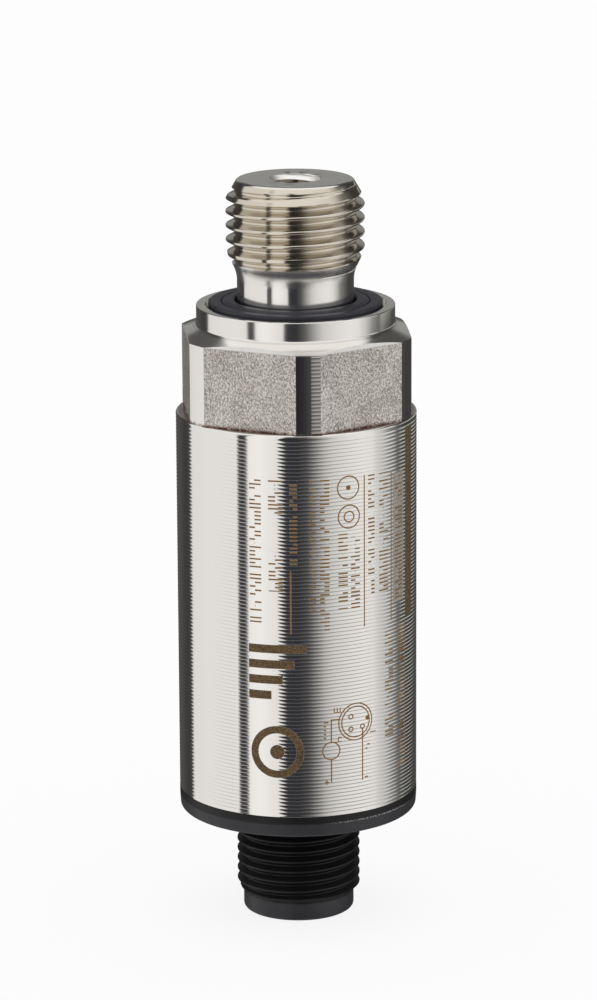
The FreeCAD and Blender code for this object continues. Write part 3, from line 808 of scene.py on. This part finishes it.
# Painted glints: light grey flecks along the parting line, only on the cap's +X side where light
# catches its flash.
parting_line_glints = (z.between(PARTING_LINE - 0.05, PARTING_LINE + 0.08, 0.02)
        * fibres.above(0.46, 0.56) * x.between(2.5, 9.5, 1.5))
housing.data.materials.append(plastic.surface(
    base_color=plastic.mix(parting_line_glints, body, (0.30, 0.30, 0.31)),
    roughness=0.36 + fibres * 0.16, specular_ior_level=0.32,
    normal=plastic.bump(fibres, 0.004)))
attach(housing, "root")
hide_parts("connector_housing")


# ---- Contact pins and pin carrier ----------------------------------------------------------
# Four turned brass pins, gold-plated, pressed into a black moulded insulator.

def plain_finish(name, dark, light, cloud_size, grain_size, rough, metallic=0.0, depth=0.003):
    """Material of one substance: cloudy colour, uneven roughness and a fine relief."""
    finish = material(name)
    cloud = finish.noise(cloud_size)
    relief = finish.bump(finish.noise(grain_size, 2.0), depth)
    return finish.surface(base_color=finish.mix(cloud, dark, light), metallic=metallic,
                          roughness=rough + cloud * 0.12, normal=relief)


def dress(node, finish):
    """Gives a CAD node its material in place of the plain one."""
    for slot in nodes[node].material_slots:
        slot.material = finish


gold = plain_finish("gold_plate", (0.78, 0.52, 0.16), (0.92, 0.68, 0.28), 0.8, 0.1, 0.14, 1.0)
for number in range(1, 5):
    dress(f"contact_pin_{number}", gold)
dress("pin_carrier", plain_finish("carrier_plastic", (0.014, 0.014, 0.015),
                                  (0.034, 0.034, 0.036), 1.5, 0.12, 0.4))


# ---- Inside: cell, rings, cradle and resin -------------------------------------------------
# The pressure cell is two alumina discs, held on its O-ring by a clamp ring.

cell = plain_finish("alumina", (0.78, 0.77, 0.71), (0.9, 0.89, 0.85), 1.2, 0.08, 0.42)
for node in ("cell_diaphragm", "cell_base"):
    dress(node, cell)
ring = plain_finish("ring_rubber", (0.016, 0.016, 0.016), (0.04, 0.04, 0.04), 0.8, 0.1, 0.42)
for node in ("cell_o_ring", "housing_o_ring"):
    dress(node, ring)
dress("cell_support_ring", plain_finish("support_plastic", (0.54, 0.43, 0.29),
                                        (0.68, 0.58, 0.44), 1.0, 0.1, 0.4))
dress("cell_clamp_ring", plain_finish("clamp_steel", (0.5, 0.5, 0.49), (0.68, 0.68, 0.66),
                                      0.6, 0.06, 0.2, 1.0))
dress("cell_leads", plain_finish("tinned_lead", (0.66, 0.64, 0.6), (0.84, 0.82, 0.77),
                                 0.5, 0.06, 0.22, 1.0))
dress("board_cradle", plain_finish("cradle_plastic", (0.68, 0.67, 0.62), (0.8, 0.79, 0.74),
                                   2.0, 0.12, 0.4))
dress("pin_potting", plain_finish("potting_resin", (0.028, 0.028, 0.028),
                                  (0.07, 0.07, 0.066), 1.5, 0.3, 0.16))


# ---- Circuit board and its parts -----------------------------------------------------------
# Green glass-fibre board with chips on the front, diodes and capacitors on the back.

dress("circuit_board", plain_finish("board_laminate", (0.018, 0.14, 0.05),
                                    (0.05, 0.26, 0.11), 1.2, 0.2, 0.3))
for node in ("signal_chip", "output_driver", "protection_diodes"):
    dress(node, plain_finish(node + "_plastic", (0.018, 0.018, 0.018), (0.045, 0.045, 0.045),
                             0.7, 0.06, 0.4))
dress("ceramic_capacitors", plain_finish("capacitor_ceramic", (0.46, 0.33, 0.2),
                                         (0.62, 0.5, 0.35), 0.5, 0.05, 0.35))
dress("chip_resistors", plain_finish("resistor_film", (0.07, 0.07, 0.08),
                                     (0.14, 0.14, 0.15), 0.4, 0.05, 0.35))


# ---- Studio --------------------------------------------------------------------------------
# Pale floor at the connector's end, and soft white panels round the object, which only
# reflections see. The floor takes the shadow, but isn't seen in reflections or from below.

bpy.ops.object.select_all(action="DESELECT")
bpy.ops.mesh.primitive_plane_add(size=6, location=(0, 0, CONNECTOR_END * MM))
floor = bpy.context.object
floor.name = "floor"
paint = material("floor_paint")
sheen = paint.node("ShaderNodeBsdfDiffuse", None, {"Color": (0.9, 0.9, 0.9, 1)})
glow = paint.node("ShaderNodeEmission", None, {"Strength": 1.0})
share = paint.node("ShaderNodeLightPath", output=0) * 0.85
lit = paint.node("ShaderNodeMixShader", None, {0: share, 1: sheen, 2: glow})
under = paint.node("ShaderNodeNewGeometry", output=6)
clear = paint.node("ShaderNodeBsdfTransparent")
paint.end("ShaderNodeOutputMaterial",
          paint.node("ShaderNodeMixShader", None, {0: under, 1: lit, 2: clear}))
floor.data.materials.append(paint.owner)
floor.visible_glossy = False

CAMERA_PLACE = (-42.1, -421.7, 86.1)
camera_reach = math.hypot(CAMERA_PLACE[0], CAMERA_PLACE[1])
toward = (CAMERA_PLACE[0] / camera_reach, CAMERA_PLACE[1] / camera_reach)
bpy.context.scene.world = bpy.data.worlds.new("studio")
studio = Finish(bpy.context.scene.world)
way = studio.node("ShaderNodeTexCoord")
way_x, way_y, way_z = [studio.node("ShaderNodeSeparateXYZ", None, {0: way}, axis)
                       for axis in range(3)]
ahead = way_x * toward[0] + way_y * toward[1]
aside = way_y * toward[0] - way_x * toward[1]
azimuth = aside.math("ARCTAN2", ahead) * (180 / math.pi)
elevation = way_z.math("ARCSINE") * (180 / math.pi)
# On an upright wall, edges of the panels that lean outwards below look straight.
lean = 1 - (elevation.math("MAXIMUM", -60).math("MINIMUM", -15) + 15) * 0.0068
bearing = azimuth / lean
front_right = bearing.between(-2, 36, 8)
skewed = bearing + (elevation + 15) * front_right * 0.25
brightness = (
    (-180, 0.09), (-150, 0.08), (-133, 0.05), (-122.5, 0.06), (-119.5, 0.88), (-95, 0.93),
    (-57.7, 0.95), (-56.5, 0.045), (-48.4, 0.045), (-46.9, 1.02), (-35, 1.06), (-22, 0.96),
    (-9, 0.92), (-8, 0.04), (-4, 0.034), (5, 0.05), (14, 0.14), (24, 0.44), (33, 0.72),
    (42, 0.84), (53, 0.92), (66, 0.97), (78, 0.9), (87, 0.68), (99, 0.26), (116, 0.11),
    (128, 0.05), (150, 0.06), (180, 0.09))
reflected = studio.node("ShaderNodeValToRGB", {"stops": [
    ((place + 180) / 360, (level, level * 0.985, level * 0.97))
    for place, level in brightness]}, {0: skewed / 360 + 0.5})
slant = elevation + 15 - (azimuth + 15.5) * 4.7
# Shares of the view from the object, and their colours.
for share, colour in (
        (azimuth.between(-46, 2, 1) * slant.above(4, -4), (0.036, 0.036, 0.042)),
        (bearing.between(-57.8, -47.8, 0.8) * elevation.above(-4, 3), (0.36, 0.36, 0.36)),
        (azimuth.between(-12, 12, 4) * elevation.above(3, 9), (0.11, 0.11, 0.125)),
        (bearing.between(26, 98, 6) * elevation.above(-32, -37), (0.33, 0.33, 0.32)),
        (azimuth.between(84, 108, 5) * elevation.between(-5, 24, 3), (0.78, 0.78, 0.77)),
        (azimuth.between(86, 112, 5) * elevation.above(-24, -30), (0.6, 0.6, 0.6)),
        (azimuth.between(114, 160, 4) * elevation.between(-8.5, 4, 1.5), (0.5, 0.51, 0.48)),
        (bearing.between(-117, -60, 2) * elevation.above(-32, -38), (0.6, 0.6, 0.59)),
        (azimuth.math("ABSOLUTE").above(156, 166) * elevation.between(2, 21, 3),
         (0.30, 0.30, 0.29)),
        (elevation.above(40, 48), (1.05, 1.04, 1.02)),
        (elevation.above(-57, -64), (0.75, 0.74, 0.72))):
    reflected = studio.mix(share, reflected, colour)
ray = studio.node("ShaderNodeLightPath", output=3) + studio.node("ShaderNodeLightPath", output=6)
studio.end("ShaderNodeOutputWorld", studio.node("ShaderNodeBackground", None, {
    "Color": studio.mix(ray.math("MINIMUM", 1), (1.0, 1.0, 1.0), reflected)}))

bpy.ops.object.camera_add(location=[part * MM for part in CAMERA_PLACE],
                          rotation=(math.radians(90 - 13.96), 0, math.radians(-5.725)))
camera = bpy.context.object
camera.rotation_euler.rotate_axis("Z", math.radians(-0.31))
camera.data.lens = 164.0
camera.data.sensor_width = 36.0
scene = bpy.context.scene
scene.camera = camera
scene.view_settings.view_transform = "Standard"
